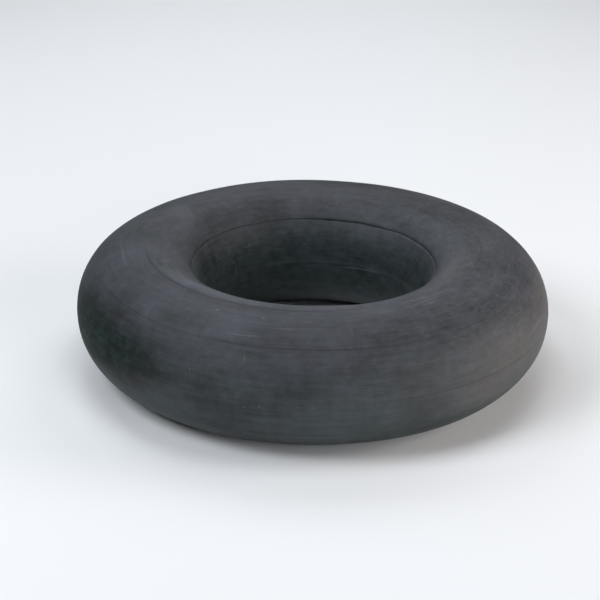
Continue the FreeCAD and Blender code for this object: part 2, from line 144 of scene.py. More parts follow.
camera = bpy.data.objects.new("camera", bpy.data.cameras.new("camera"))
bpy.context.scene.collection.objects.link(camera)
bpy.context.scene.camera = camera
camera.data.lens = 133.6
camera.data.sensor_width = 36.0
camera.data.shift_x = -0.0209
camera.data.shift_y = 0.0047
camera.data.clip_end = 60.0
towards_camera = Vector((0, -math.cos(CAMERA_RISE), math.sin(CAMERA_RISE)))
camera.location = Vector((0, 0, MID)) + towards_camera * CAMERA_DISTANCE
aim = (-towards_camera).to_track_quat("-Z", "Y")
camera.rotation_mode = "QUATERNION"
camera.rotation_quaternion = aim @ Matrix.Rotation(CAMERA_LEAN, 3, "Z").to_quaternion()
print("camera", [round(v, 3) for v in camera.location])

# %% [markdown]
# ## Shader maths
# A material is a network of nodes, and long sums of nodes are hard to read. This class wraps one output
# socket, so that `(height - middle) * 3` adds the Math nodes for it. Any other node comes from `node`.


# %% A socket that can be used in sums
class Flow:
    """One output socket of a material, with arithmetic."""

    def __init__(self, tree, socket=None):
        self.tree = tree
        self.socket = socket

    def node(self, kind, inputs=None, output=0, **settings):
        """Adds a node, sets it up, feeds it, and returns one of its outputs."""
        made = self.tree.nodes.new(kind)
        for name, value in settings.items():
            setattr(made, name, value)
        for key, value in (inputs or {}).items():
            if isinstance(value, Flow):
                self.tree.links.new(value.socket, made.inputs[key])
            else:
                made.inputs[key].default_value = value
        return Flow(self.tree, made.outputs[output])

    def math(self, operation, *values, clamp=False):
        feeds = dict(enumerate(values))
        return self.node("ShaderNodeMath", feeds, operation=operation, use_clamp=clamp)

    def __add__(self, other):
        return self.math("ADD", self, other)

    def __sub__(self, other):
        return self.math("SUBTRACT", self, other)

    def __mul__(self, other):
        return self.math("MULTIPLY", self, other)

    def __truediv__(self, other):
        return self.math("DIVIDE", self, other)

    def __radd__(self, other):
        return self.math("ADD", other, self)

    def __rsub__(self, other):
        return self.math("SUBTRACT", other, self)

    def __rmul__(self, other):
        return self.math("MULTIPLY", other, self)

    def __pow__(self, other):
        return self.math("POWER", self, other)

    def clamped(self):
        return self.math("ADD", self, 0.0, clamp=True)

    def parts(self):
        """The three numbers of a vector."""
        split = self.node("ShaderNodeSeparateXYZ", {0: self}).socket.node
        return [Flow(self.tree, output) for output in split.outputs]

    def scaled(self, amount):
        """This colour or vector times a number that varies."""
        return self.node("ShaderNodeVectorMath", {0: self, 3: amount}, operation="SCALE")

    def rising(self, low, high):
        """0 below low, 1 above high, and a smooth step between."""
        feeds = {"Value": self, "From Min": low, "From Max": high}
        return self.node("ShaderNodeMapRange", feeds, interpolation_type="SMOOTHSTEP")

    def mixed(self, under, over):
        """The colour under, turning to the colour over where this value is 1."""
        feeds = {0: self, 6: under, 7: over}
        return self.node("ShaderNodeMix", feeds, output=2, data_type="RGBA")

    def cloud(self, scale, detail=3.0, roughness=0.5, distortion=0.0):
        """Soft noise read at this vector, from 0 to 1."""
        feeds = {
            "Vector": self,
            "Scale": scale,
            "Detail": detail,
            "Roughness": roughness,
            "Distortion": distortion,
        }
        return self.node("ShaderNodeTexNoise", feeds)


def colour(red, green, blue):
    return (red, green, blue, 1.0)


def new_material(name):
    """An empty material: (material, flow to start from, its Principled shader)."""
    material = bpy.data.materials.new(name)
    material.use_nodes = True
    shader = material.node_tree.nodes["Principled BSDF"]
    return material, Flow(material.node_tree), shader


def feed(shader, **values):
    """Sets or links the shader's sockets; an underscore in a name stands for a space."""
    for name, value in values.items():
        socket = shader.inputs[name.replace("_", " ")]
        if isinstance(value, Flow):
            value.tree.links.new(value.socket, socket)
        else:
            socket.default_value = value


# %% [markdown]
# ## Marks of the mould
# A tube is moulded in two halves and its ends are spliced. Both leave lines: where the two halves met, at
# the outermost and innermost lines, and where inserts met at the crown and shoulders. The strongest is the
# crease at the edge of the rim side. Each line is given by its section angle, the half width and the height
# of its bead (a negative height is a groove), and how far it wanders from its place.

# %% List the moulding lines
# name: (section angle, half width, height, wander in degrees)
MOULD_LINES = {
    "rim_crease": (140.5, 1.9 * MM, -2.3 * MM, 1.3),
    "lower_rim_crease": (-134.0, 1.8 * MM, 0.7 * MM, 0.5),
    "rim_middle": (180.0, 1.6 * MM, 0.8 * MM, 0.3),
    "crown_line": (91.5, 1.4 * MM, -0.9 * MM, 0.8),
    "shoulder_line": (47.0, 1.5 * MM, -0.6 * MM, 0.8),
    "tread_middle": (1.0, 1.4 * MM, 0.5 * MM, 0.4),
    "lower_shoulder_line": (-31.5, 1.6 * MM, -0.5 * MM, 0.6),
    "sole_line": (-97.0, 1.6 * MM, -0.5 * MM, 0.5),
}
# where the two ends of the tube were spliced, and a smaller line beside it: bearing in degrees
SPLICES = (-29.0, 14.0)
BETWEEN_LINES = math.radians(2.35)
BESIDE_LINE = (-2.0, -1.0, 0.0, 1.0, 2.0)
ROUND_STEPS = 540


def section_angles():
    """Where the section has its points: evenly, and closer together across each moulding line."""
    angles = []
    for degrees, width, *rest in MOULD_LINES.values():
        step = width / HALF_HEIGHT * 0.9
        angles += [math.radians(degrees) + step * place for place in BESIDE_LINE]
    evenly = [i * BETWEEN_LINES for i in range(round(2 * math.pi / BETWEEN_LINES))]
    clear = BETWEEN_LINES * 0.45
    for angle in evenly:
        gaps = [abs(math.remainder(angle - other, 2 * math.pi)) for other in angles]
        if min(gaps) > clear:
            angles.append(angle)
    return sorted(math.remainder(angle, 2 * math.pi) for angle in angles)


SECTION = section_angles()
print("section points", len(SECTION), "triangles", 2 * len(SECTION) * ROUND_STEPS)

# %% [markdown]
# ## Relief of the rubber
# Relief is a list of marks. A mark covers a span of bearings and a span of section angles, with soft edges,
# so one kind of row describes a groove, a fold, a worn band and a darker patch. It has a height in
# millimetres and four shades, which the mesh carries as attributes for the material: dark and pale lines,
# tone (how much lighter or darker the rubber is made, which includes a painted highlight along the fold and
# painted warm light on the right side) and warmth (brown dirt, and painted warm light on the right side). A
# dark line then sits in its groove exactly; in a groove or crease that dark is painted shade.


# %% Helpers for relief
def ramp_up(value, low, high):
    part = min(max((value - low) / (high - low), 0.0), 1.0)
    return part * part * (3 - 2 * part)


def turned_by(angle, centre):
    """How far an angle is from a centre, in degrees, the short way round."""
    return math.remainder(math.degrees(angle) - centre, 360.0)


def span(angle, low, high, soft):
    """1 between two angles in degrees and falling smoothly to 0 beyond them."""
    beyond = abs(turned_by(angle, (low + high) / 2)) - (high - low) / 2
    return 1 - ramp_up(beyond, 0.0, soft)


def ripple(bearing_angle, cycles, seed):
    """Smooth noise that joins up with itself once round the ring, from about -1 to 1."""
    spot = Vector((math.cos(bearing_angle) * cycles, math.sin(bearing_angle) * cycles, seed))
    return noise.noise(spot)


GATHERED_REACH = 7.0
GATHERED_SHARE = 0.25


def gathered(round_angle):
    """Crowds the steps round the ring together at the splices, where the relief is finer."""
    for centre in SPLICES:
        away = turned_by(round_angle, centre)
        if abs(away) < GATHERED_REACH:
            spread = (1 - GATHERED_SHARE) * (away / GATHERED_REACH) ** 2
            moved = away * (GATHERED_SHARE + spread)
            return math.radians(centre + moved)
    return round_angle


# %% List the marks
class Mark:
    """One row of relief; spans are (low, high, soft) in degrees, height in millimetres."""

    def __init__(self, around, across, height=0.0, dark=0.0, pale=0.0, tone=0.0, dirt_and_warm_light=0.0):
        self.around = around
        self.across = across
        self.amounts = (height * MM, dark, pale, tone, dirt_and_warm_light)


ALL_ROUND = (-180.0, 180.0, 1.0)


def line_marks():
    """The moulding lines: a faint trace all round, and the stretches where each shows clearly. Their dark is
    painted shade in the grooves, and a painted shadow under the lip of the rim crease; on the tread_middle
    bead it is a dark line.
    """
    clear = {
        "rim_crease": [(ALL_ROUND, 0.75, 0.95), ((150, 178, 9), 0.35, 0.6), ((172, 173, 3), 0.5, 0.6)],
        "lower_rim_crease": [(ALL_ROUND, 0.5, -0.05), ((130, 171, 9), 0.5, -0.25)],
        "rim_middle": [(ALL_ROUND, 0.5, -0.05), ((132, 200, 22), 0.4, -0.35)],
        "crown_line": [
            (ALL_ROUND, 0.12, 0.05),
            ((-74, -3, 9), 0.9, 0.75),
            ((72, 112, 9), 0.6, 0.55),
            ((-161, -151, 4), 0.3, -0.5),
            ((37, 48, 5), 0.3, -0.5),
        ],
        "shoulder_line": [(ALL_ROUND, 0.2, 0.08), ((-60, 10, 16), 0.7, 0.5), ((30, 76, 16), 0.4, 0.22)],
        "tread_middle": [(ALL_ROUND, 0.25, 0.05), ((20, 72, 9), 0.7, 0.4), ((-52, -36, 5), 0.6, 0.35)],
        "lower_shoulder_line": [(ALL_ROUND, 0.3, 0.1), ((-32, 2, 9), 0.6, 0.5)],
        "sole_line": [(ALL_ROUND, 0.8, 0.4)],
    }
    made = []
    for name, stretches in clear.items():
        degrees, width, rise, drift = MOULD_LINES[name]
        soft = math.degrees(width / HALF_HEIGHT) * 1.7
        for around, strength, shade in stretches:
            height = rise / MM * strength
            dark, pale = max(shade, 0.0), max(-shade, 0.0)
            made.append(Mark(around, (degrees, degrees, soft), height, dark, pale))
    return made


def splice_marks():
    first, second = SPLICES
    return [
        Mark((first, first, 0.42), (52, 74, 8), height=-0.6, dark=0.16),
        Mark((first, first, 0.42), (5, 50, 9), height=-0.3, dark=0.06),
        Mark((first + 0.9, first + 0.9, 0.6), (5, 76, 9), height=0.35, pale=0.06),
        Mark((second, second, 0.4), (-7, 12, 8), height=-0.35, dark=0.16),
        Mark((second, second, 0.4), (34, 66, 9), height=-0.35, dark=0.10),
        Mark((-21, -21, 9.5), (63, 63, 18), height=0.5, tone=0.5),
    ]


def fold_highlight_and_shadow_marks():
    """The leaf-shaped fold at the left end of the crown line, and the band between that line and the hole.
    The lighter tone of the first three rows is a painted highlight along the fold and the band, and the two
    dark lines are painted shadow beneath the fold.
    """
    return [
        Mark((-70, 12, 5), (94, 108, 2.2), height=1.5, tone=0.35),
        Mark((-60, -22, 12), (98, 110, 6), tone=0.45),
        Mark((-22, 30, 14), (97, 110, 6), tone=0.1),
        Mark((-74, -68, 1.5), (98.5, 100, 1.3), height=-1.1, dark=0.8),
        Mark((-70, -63, 2), (105, 107, 1.6), height=-1.0, dark=0.75),
    ]


def tone_marks():
    """Where the rubber is made lighter or darker, and browner: (bearing, section angle, half spans, tone,
    warmth). On the outer right side the rows with warmth are painted warm light, making that side lighter and
    browner.
    """
    rows = [
        (-60, 10, 40, 42, -2.2, 0.0),
        (-84, -2, 34, 42, -1.0, 0.0),
        (-50, 59, 14, 12, 0.2, 0.0),
        (-30, 75, 22, 12, 0.3, 0.0),
        (-7, 84, 20, 18, 0.6, 0.0),
        (-15, 18, 13, 22, 0.8, 0.0),
        (-62, -2, 15, 15, -0.7, 0.0),
        # painted warm light: this row and the next make the right side lighter and browner
        (60, 74, 18, 13, 0.5, 0.3),
        (112, 68, 24, 16, 0.6, 0.4),
        (-30, 56, 12, 16, 0.35, 0.0),
        (-3, 12, 20, 24, -0.35, 0.0),
        (-10, 30, 18, 12, 0.2, 0.0),
        # painted warm light: these three rows make the lower right side lighter and browner
        (46, -10, 40, 40, 0.6, 0.8),
        (88, 22, 30, 36, 0.7, 1.0),
        (62, 14, 30, 30, 0.2, 0.7),
        (20, 64, 22, 20, -0.4, 0.0),
        (16, 18, 16, 20, -0.35, 0.0),
        (-6, 88, 26, 7, -0.35, 0.0),
        (-44, -4, 20, 12, 0.2, 0.55),
        (-122, 98, 10, 26, 0.8, 0.25),
        (-100, 60, 24, 26, 0.35, 0.1),
        (-165, 72, 70, 18, -0.5, 0.0),
        (66, 112, 30, 30, 0.75, 0.35),
        (52, 100, 20, 8, 0.4, 0.2),
        (98, 140, 32, 16, 0.4, 0.1),
        (112, 178, 20, 14, 0.3, 0.2),
        (-112, 152, 20, 24, -0.6, 0.0),
        (-160, 118, 46, 20, -0.15, 0.0),
        (-168, -136, 40, 14, 0.8, 0.3),
        (165, -136, 30, 14, 0.8, 0.3),
        (105, 120, 62, 26, 0.75, 0.15),
        (162, 82, 40, 22, -0.5, 0.0),
        # painted warm light: this row makes the crown on the right lighter and browner
        (98, 86, 26, 20, 0.5, 0.5),
        (134, 154, 60, 36, 0.9, 0.1),
    ]
    return [
        Mark((around, around, half_around), (across, across, half_across), tone=tone, dirt_and_warm_light=dirt_and_warm_light)
        for around, across, half_around, half_across, tone, dirt_and_warm_light in rows
    ]


MARKS = line_marks() + splice_marks() + fold_highlight_and_shadow_marks() + tone_marks()
print("marks", len(MARKS))


# %% Add the marks up
@lru_cache(maxsize=None)
def marks_round(round_angle):
    return [span(round_angle, *mark.around) for mark in MARKS]


@lru_cache(maxsize=None)
def marks_across(angle):
    return [span(angle, *mark.across) for mark in MARKS]


@lru_cache(maxsize=None)
def line_drift(round_angle):
    """How far each moulding line wanders at this bearing, in radians."""
    drifts = []
    for seed, (degrees, width, height, drift) in enumerate(MOULD_LINES.values()):
        local = ripple(round_angle, 2.2, seed * 3.7) + 0.6 * ripple(round_angle, 11.0, seed * 5.1)
        drifts.append(math.radians(drift) * local)
    return drifts


@lru_cache(maxsize=None)
def near_lines(angle):
    places = [line[0] for line in MOULD_LINES.values()]
    return [math.exp(-((turned_by(angle, place) / 4.0) ** 2)) for place in places]


def mark_sums(round_angle, angle):
    """Height, dark, pale, tone and warmth of all marks at one point of the skin."""
    sums = [0.0, 0.0, 0.0, 0.0, 0.0]
    for along, over, mark in zip(marks_round(round_angle), marks_across(angle), MARKS):
        if along * over > 0.001:
            for index, amount in enumerate(mark.amounts):
                sums[index] += along * over * amount
    return sums


# the skin lies smooth under the valve's foot: (low, high, soft) in degrees, round the ring and across it
VALVE_ROUND = (-9.5, 9.5, 6.0)
VALVE_ACROSS = (163.0, 197.0, 12.0)


def soft_relief(spot):
    """The slow unevenness of blown-up rubber, with some finer puckers."""
    slow = noise.noise(spot * 4.0 + Vector((3.1, 0.7, 5.2)))
    medium = noise.noise(spot * 13.0)
    return slow * 1.6 * MM + medium * 0.4 * MM


# %% [markdown]
# ## The rubber ring
# The section is drawn once as a ring of points, then spun round the upright axis. `spin` makes the quads
# and joins the last copy to the first. Every point is then moved by the relief. Points that would sink
# below the floor are pressed up to it, which gives the narrow flat that the tube rests on. A UV map keeps
# the bearing and the section angle of each point, so that the material can draw scuffs that follow the
# ring.


# %% Make the ring
def new_piece(name, mesh_maker, body="tube", material=None, finish=None, sharp=None):
    """Runs mesh_maker on an empty bmesh; the result rides on a body, and bends over sharp stay crisp."""
    bm = bmesh.new()
    mesh_maker(bm)
    mesh = bpy.data.meshes.new(name)
    bm.to_mesh(mesh)
    bm.free()
    mesh.shade_smooth()
    if sharp:
        mesh.set_sharp_from_angle(angle=sharp)
    piece = bpy.data.objects.new(name, mesh)
    bpy.context.scene.collection.objects.link(piece)
    if material:
        mesh.materials.append(material)
    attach(piece, body)
    print(name, len(mesh.vertices), "points", len(mesh.polygons), "faces")
    return piece


def nearest_angle(radius, height):
    """The section angle of a drawn point, exactly as it stands in SECTION."""
    angle = section_angle(radius, height)
    index = bisect.bisect_left(SECTION, angle)
    choices = [SECTION[(index + step) % len(SECTION)] for step in (-1, 0)]
    return min(choices, key=lambda choice: abs(math.remainder(choice - angle, 2 * math.pi)))


def ring_mesh(bm):
    bmesh.ops.create_circle(bm, segments=len(SECTION), radius=1.0)
    for point, angle in zip(list(bm.verts), SECTION):
        radius, height = section_point(angle)
        point.co = (radius, 0.0, height)
    drawn = list(bm.verts) + list(bm.edges)
    bmesh.ops.spin(
        bm,
        geom=drawn,
        cent=(0, 0, 0),
        axis=(0, 0, 1),
        angle=2 * math.pi,
        steps=ROUND_STEPS,
        use_merge=True,
    )
    bmesh.ops.remove_doubles(bm, verts=list(bm.verts), dist=1e-6)
    bmesh.ops.recalc_face_normals(bm, faces=list(bm.faces))
    layers = [bm.verts.layers.float.new(name) for name in ("dark", "pale", "tone", "dirt_and_warm_light")]
    flat = bm.loops.layers.uv.new("round_and_across")
    step = 2 * math.pi / ROUND_STEPS
    spots = {}
    for point in bm.verts:
        angle = nearest_angle(math.hypot(point.co.x, point.co.y), point.co.z)
        round_angle = gathered(round(bearing(point.co.x, point.co.y) / step) * step)
        height, *shades = mark_sums(round_angle, angle)
        height += soft_relief(point.co)
        height *= 1 - span(round_angle, *VALVE_ROUND) * span(angle, *VALVE_ACROSS)
        drift = sum(a * b for a, b in zip(line_drift(round_angle), near_lines(angle)))
        radius, level = section_point(angle + drift)
        across, up = section_normal(angle + drift)
        radius += across * height
        level += up * height
        point.co = (radius * math.sin(round_angle), -radius * math.cos(round_angle), max(level, 0.0))
        for layer, shade in zip(layers, shades):
            point[layer] = shade
        spots[point] = (round_angle / (2 * math.pi), angle / (2 * math.pi))
    for face in bm.faces:
        first = spots[face.verts[0]]
        for loop in face.loops:
            here = spots[loop.vert]
            loop[flat].uv = [first[i] + math.remainder(here[i] - first[i], 1.0) for i in (0, 1)]


# %% [markdown]
# ## Rubber
# Butyl rubber leaves the mould almost black. Talc and a pale bloom then settle on it, thickest where the
# tube faces up and where hands and floors have not rubbed it off. So the colour is a dark base whose tone
# is a sum: slow clouds, blotches, streaks that run round the ring, and the tone that the mesh carries, which
# holds a painted highlight along the fold and painted warm light on the right side. Three tints are laid over
# it by place: greenish black where it is bare, blue grey where dust lies, and brown where it is dirty and
# where warm light is painted on the right side. Grooves and creases are darkened to near black as painted
# shade. A second, darker and duller rubber is mixed in where the tone is low, and in the hole, where it is
# bare rubber on which no dust has settled and also painted shade. Scuffs are thin bent lines on the UV map,
# and hairlines are the places where a stretched noise crosses its middle value.

# %% List the scuffs
# round the ring: (section angle, from bearing, to bearing, slope, bow, half width in mm, pale)
ROUND_SCUFFS = [
    (92.5, 29, 41, -0.05, 1.2, 1.5, 0.75),
    (86.0, 29, 42, 0.2, -0.5, 1.6, 0.55),
    (64.0, 50, 55.5, -3.3, 0.0, 1.4, 0.65),
    (73.0, -93, -74, 0.15, -1.5, 1.7, 0.35),
    (81.0, -92, -83, 0.5, -0.5, 1.4, 0.25),
    (14.0, 58, 73, 0.5, 0.0, 1.6, 0.5),
    (-178.0, 139, 166, 0.08, 0.5, 1.5, 0.8),
    (-138.0, 162, 172, -1.1, 0.0, 1.5, 0.5),
    (71.0, 76, 86, 1.6, 0.0, 1.6, 0.4),
    (56.0, -22, -12, 0.2, 0.6, 1.4, 0.4),
    (67.0, -13, 6, 0.1, 0.4, 1.3, 0.35),
    (28.0, 20, 34, 0.1, 0.5, 1.5, 0.25),
    (102.0, 92, 109, 0.6, 0.0, 1.6, 0.4),
]
# over the ring: (bearing, from section angle, to section angle, slope, bow, half width, pale)
CROSS_SCUFFS = [
    (71.0, 93, 114, -0.3, 2.0, 1.7, 0.7),
    (60.0, 50, 66, -0.25, 0.0, 1.3, 0.5),
    (-16.0, 31, 41, 0.0, 0.0, 1.2, 0.45),
    (-133.0, 166, 184, -0.15, 3.0, 1.6, 0.8),
    (-120.0, 150, 168, -0.6, 2.0, 1.6, 0.65),
    (123.0, 156, 170, -0.4, 2.0, 1.5, 0.8),
    (117.0, 160, 180, 0.35, 3.0, 1.5, 0.75),
    (106.0, 150, 168, -1.1, 2.0, 1.5, 0.7),
    (-123.0, 96, 116, 0.3, 0.0, 2.2, 0.35),
    (10.5, 58, 68, 0.0, 0.0, 1.2, 0.35),
]
# small pale spots: (bearing, section angle, radius in mm, pale)
SPOTS = [
    (-28.7, 77.0, 3.2, 0.9),
    (-37.2, 68.5, 2.6, 0.55),
    (-14.2, 77.5, 3.4, 0.6),
    (-28.8, 18.5, 2.4, 0.6),
    (142.0, 162.5, 2.6, 0.8),
    (174.0, 126.0, 2.6, 0.5),
    (-11.5, -2.0, 3.6, 0.35),
    (-15.0, -4.0, 2.8, 0.3),
    (-52.0, 100.0, 2.4, 0.35),
]


# %% The rubber's colours
# tints that the tone is multiplied by
GREENISH = colour(0.74, 1.0, 1.03)
BLUE_GREY = colour(0.95, 0.99, 1.24)
# brown tint: dirt, and painted warm light where the warmth marks lie on the outer right side
BROWNISH = colour(1.13, 0.99, 0.98)
# colours laid over it
# near black for the dark lines: painted shade in grooves and creases and under the fold, and a dark line on
# the tread bead
LINE_AND_CREASE_SHADE_BLACK = colour(0.003, 0.004, 0.005)
SCUFF_GREY = colour(0.130, 0.130, 0.138)
# the darker, duller rubber: on the left low side, and in the hole, where it is painted shade as well as bare
# rubber
BARE_DARK = colour(0.002, 0.006, 0.005)
BARE_PALE = colour(0.016, 0.032, 0.028)


# %% The rubber's material
class RubberPlace:
    """The values that the rubber's layers are drawn from: where on the ring, and how far things are."""

    def __init__(self, start):
        self.spot = start.node("ShaderNodeTexCoord", output=3)
        self.x, self.y, self.z = self.spot.parts()
        self.radius = (self.x * self.x + self.y * self.y) ** 0.5
        self.round_x = self.x / self.radius
        self.round_y = self.y / self.radius
        flat = start.node("ShaderNodeUVMap", uv_map="round_and_across").parts()
        self.around = flat[0] * 360.0
        self.across = flat[1] * 360.0
        self.upward = start.node("ShaderNodeNewGeometry", output=1).parts()[2]
        self.start = start

    def shade(self, name):
        return self.start.node("ShaderNodeAttribute", output=2, attribute_name=name)

    def stretched(self, along, over, seed=0.0, detail=3.0):
        """Noise drawn out over the skin: along and over are cycles round the ring and across it."""
        shaped = {0: self.round_x * along, 1: self.round_y * along, 2: self.radius * over + seed}
        vector = self.start.node("ShaderNodeCombineXYZ", shaped)
        feeds = {"Vector": vector, "W": self.z * over, "Scale": 1.0, "Detail": detail, "Roughness": 0.6}
        return self.start.node("ShaderNodeTexNoise", feeds, noise_dimensions="4D")


ROUND_REACH = 6.6
CROSS_REACH = 2.48


def turn_from(value, centre):
    """Degrees from a centre, kept within half a turn of it."""
    return (value - (centre - 180.0)).math("FLOORED_MODULO", value - (centre - 180.0), 360.0) - 180.0


def scuff_mask(place, scuffs, runs_round):
    """How pale the scuffs make each point, from 0 to 1."""
    total = None
    for middle, start, end, slope, bow, width, pale in scuffs:
        run, over = (place.around, place.across) if runs_round else (place.across, place.around)
        size_mm = CROSS_REACH if runs_round else ROUND_REACH
        centre = (start + end) / 2
        half = (end - start) / 2
        along = turn_from(run, centre)
        bent = slope * along + bow * (along / half) ** 2
        aside = (turn_from(over, middle) - bent).math("ABSOLUTE", turn_from(over, middle) - bent)
        thin = 1 - (aside * size_mm).rising(width * 0.3, width * 1.5)
        ends = 1 - along.math("ABSOLUTE", along).rising(half * 0.45, half * 1.1)
        mark = thin * ends * pale
        total = mark if total is None else total.math("MAXIMUM", total, mark)
    return total


def spot_mask(place):
    total = None
    for around, across, radius, pale in SPOTS:
        side = turn_from(place.around, around) * ROUND_REACH
        over = turn_from(place.across, across) * CROSS_REACH
        away = (side * side + over * over) ** 0.5
        mark = (1 - away.rising(radius * 0.3, radius * 1.1)) * pale
        total = mark if total is None else total.math("MAXIMUM", total, mark)
    return total


def hairlines(field, width):
    """Thin lines where a noise crosses its middle value."""
    off = field - 0.5
    return 1 - off.math("ABSOLUTE", off).rising(width * 0.3, width)


def make_rubber():
    material, start, shader = new_material("dusty_rubber")
    place = RubberPlace(start)
    slow = place.spot.cloud(3.5, 4.0, 0.55)
    blotch = place.spot.cloud(12.0, 5.0, 0.62, 0.4)
    patchy = place.spot.cloud(7.0, 3.0, 0.5)
    mottle = place.spot.cloud(48.0, 4.0, 0.6)
    grain = place.spot.cloud(420.0, 3.0, 0.6)
    streaks = place.stretched(6.0, 170.0)
    wide_streaks = place.stretched(4.0, 46.0, 7.0)
    wrinkles = place.stretched(70.0, 9.0, 3.0)

    tone = 0.032 + (slow - 0.5) * 0.040 + (blotch - 0.5) * 0.037 + (mottle - 0.5) * 0.036
    tone += (streaks - 0.5) * 0.034 + (wide_streaks - 0.5) * 0.034 + place.shade("tone") * 0.024
    tone += (patchy - 0.5) * 0.034
    right_side = place.round_x.rising(0.0, 0.9)
    rubbed = place.stretched(24.0, 190.0, 21.0)
    grazed = right_side * place.upward.rising(0.0, 0.8)
    tone += ((rubbed - 0.5) * 0.052 + (mottle - 0.5) * 0.010) * grazed
    tone = tone.math("MAXIMUM", tone, 0.004)

    dusty = (place.upward.rising(-0.35, 0.85) * (patchy * 1.5 + 0.1)).clamped()
    # warmth: brown dirt, and painted warm light on the outer right side
    warmth = (place.shade("dirt_and_warm_light") * (blotch * 0.9 + 0.45)).clamped()
    tint = dusty.mixed(GREENISH, BLUE_GREY)
    tint = warmth.mixed(tint, BROWNISH)
    toned = tint.scaled(tone)

    scratch_field = place.spot.cloud(16.0, 2.0, 0.5, 1.2)
    fine_field = place.stretched(34.0, 34.0, 5.0, 2.0)
    worn = patchy.rising(0.45, 0.7) * place.upward.rising(-0.2, 0.6)
    broken = place.stretched(9.0, 30.0, 11.0).rising(0.5, 0.62)
    scratches = hairlines(scratch_field, 0.007) * worn * broken * 0.45
    scratches += hairlines(fine_field, 0.016) * worn * (right_side * 0.8 + 0.12) * broken
    scratches += rubbed.rising(0.58, 0.74) * mottle.rising(0.42, 0.6) * grazed * 0.3
    scuffs = scuff_mask(place, ROUND_SCUFFS, True)
    scuffs = scuffs.math("MAXIMUM", scuffs, scuff_mask(place, CROSS_SCUFFS, False))
    scuffs = scuffs * (streaks * 0.5 + mottle * 0.9)
    pale = (scratches + scuffs + spot_mask(place) + place.shade("pale") * 0.6).clamped()
    specks = mottle.rising(0.66, 0.74) * blotch.rising(0.5, 0.6) * 0.35
    pale = pale.math("MAXIMUM", pale, specks)

    # painted shade: grooves, creases and the fold's underside are darkened towards near black
    lined = (place.shade("dark") * 0.95).clamped().mixed(toned, LINE_AND_CREASE_SHADE_BLACK)
    marked = (pale * 0.75).clamped().mixed(lined, SCUFF_GREY)

    rough = 0.60 + (blotch - 0.5) * 0.22 + (grain - 0.5) * 0.10 + dusty * 0.10 - place.shade("tone") * 0.05
    relief_height = grain * 0.4 + mottle * 0.9 + streaks * 0.45 + wrinkles * 0.35 - scratches * 0.4
    bump = start.node("ShaderNodeBump", {"Strength": 0.3, "Distance": 0.0007, "Height": relief_height})
    feed(shader, Base_Color=marked, Roughness=rough.clamped(), Normal=bump, Specular_IOR_Level=0.5)

    bare_tone = ((mottle - 0.5) * 2.4 + (streaks - 0.5) * 1.6 + 0.45).clamped()
    bare_feeds = {
        "Base Color": bare_tone.mixed(BARE_DARK, BARE_PALE),
        "Roughness": 0.7,
        "Specular IOR Level": 0.14,
        "Normal": bump,
    }
    bare_shader = start.node("ShaderNodeBsdfPrincipled", bare_feeds)
    # the darker, duller rubber goes where the tone is lowest, mostly on the left low side
    low_tone_patches = (place.shade("tone") * -1.0 + (blotch - 0.5) * 1.1 + (mottle - 0.5) * 0.5).rising(0.1, 2.3)
    in_hole = turn_from(place.across, 180.0)
    # painted shade in the hole: its inner wall gets the darker rubber, as bare rubber and as shade
    hole = 1 - in_hole.math("ABSOLUTE", in_hole).rising(14.0, 52.0)
    dull_rubber_and_hole_shade = (low_tone_patches * 0.95).math("MAXIMUM", low_tone_patches * 0.95, hole * (0.47 + (patchy - 0.5) * 1.2))
    dull_rubber_and_hole_shade = (dull_rubber_and_hole_shade * (1 - pale * 0.8)).clamped()
    dusty_shader = Flow(start.tree, shader.outputs[0])
    both = start.node("ShaderNodeMixShader", {0: dull_rubber_and_hole_shade, 1: dusty_shader, 2: bare_shader})
    start.tree.links.new(both.socket, material.node_tree.nodes["Material Output"].inputs[0])
    return material


rubber = make_rubber()
tube_skin = new_piece("tube_skin", ring_mesh, material=rubber, finish="tube_rubber")
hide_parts("tube_body")

# %% [markdown]
# ## Where the valve is
# The valve stands on the inner wall on the -Y side. Its foot runs out along +Y through a rubber pad, two
# washers and a nut, and its stem bends down. The frame's boxes say where each piece starts and ends.

# %% Read the valve's places
stem_low, stem_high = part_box("valve_stem")
washer_low, washer_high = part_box("bridge_washer")
ring_low, ring_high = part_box("ring_washer")
nut_low, nut_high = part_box("clamp_nut")
cap_low, cap_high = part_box("valve_cap")
spring_low, spring_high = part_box("core_spring")
STEM_RADIUS = 5.15 * MM
MOUTH_RADIUS = 3.85 * MM
SHANK_RADIUS = 6.1 * MM
BEND_RADIUS = 16.0 * MM
STEM_LINE = stem_high.y - STEM_RADIUS
BEND_START = STEM_LINE - BEND_RADIUS
STRAIGHT_TOP = MID - BEND_RADIUS
MOUTH = Vector((0, STEM_LINE, stem_low.z))
UP = Vector((0, 0, 1))
OUT = Vector((0, 1, 0))
SIDE = Vector((1, 0, 0))
print("mouth", [round(v, 4) for v in MOUTH], "bend starts", round(BEND_START, 4))

# %% [markdown]
# ## Turned pieces
# The stem, cap and washers are turned on a lathe, so they are made the same way here: half an outline is
# drawn beside an axis and spun round it. A thread isn't spun. It is cut afterwards, as on the real machine,
# by pushing the points in by an amount that depends on how far along and how far round they are.


# %% Helpers for turned pieces
# edges bent more than this stay crisp
SHARP = math.radians(38)
ON_CYLINDER = 0.1 * MM


def lathe(bm, outline, origin, axis, steps):
    """Spins an outline of (distance along the axis, radius), in metres, round an axis."""
    points = [bm.verts.new(origin + axis * along + SIDE * radius) for along, radius in outline]
    edges = [bm.edges.new(pair) for pair in zip(points, points[1:])]
    bmesh.ops.spin(
        bm,
        geom=points + edges,
        cent=origin,
        axis=axis,
        angle=2 * math.pi,
        steps=steps,
        use_merge=True,
    )
    bmesh.ops.remove_doubles(bm, verts=list(bm.verts), dist=2e-6)


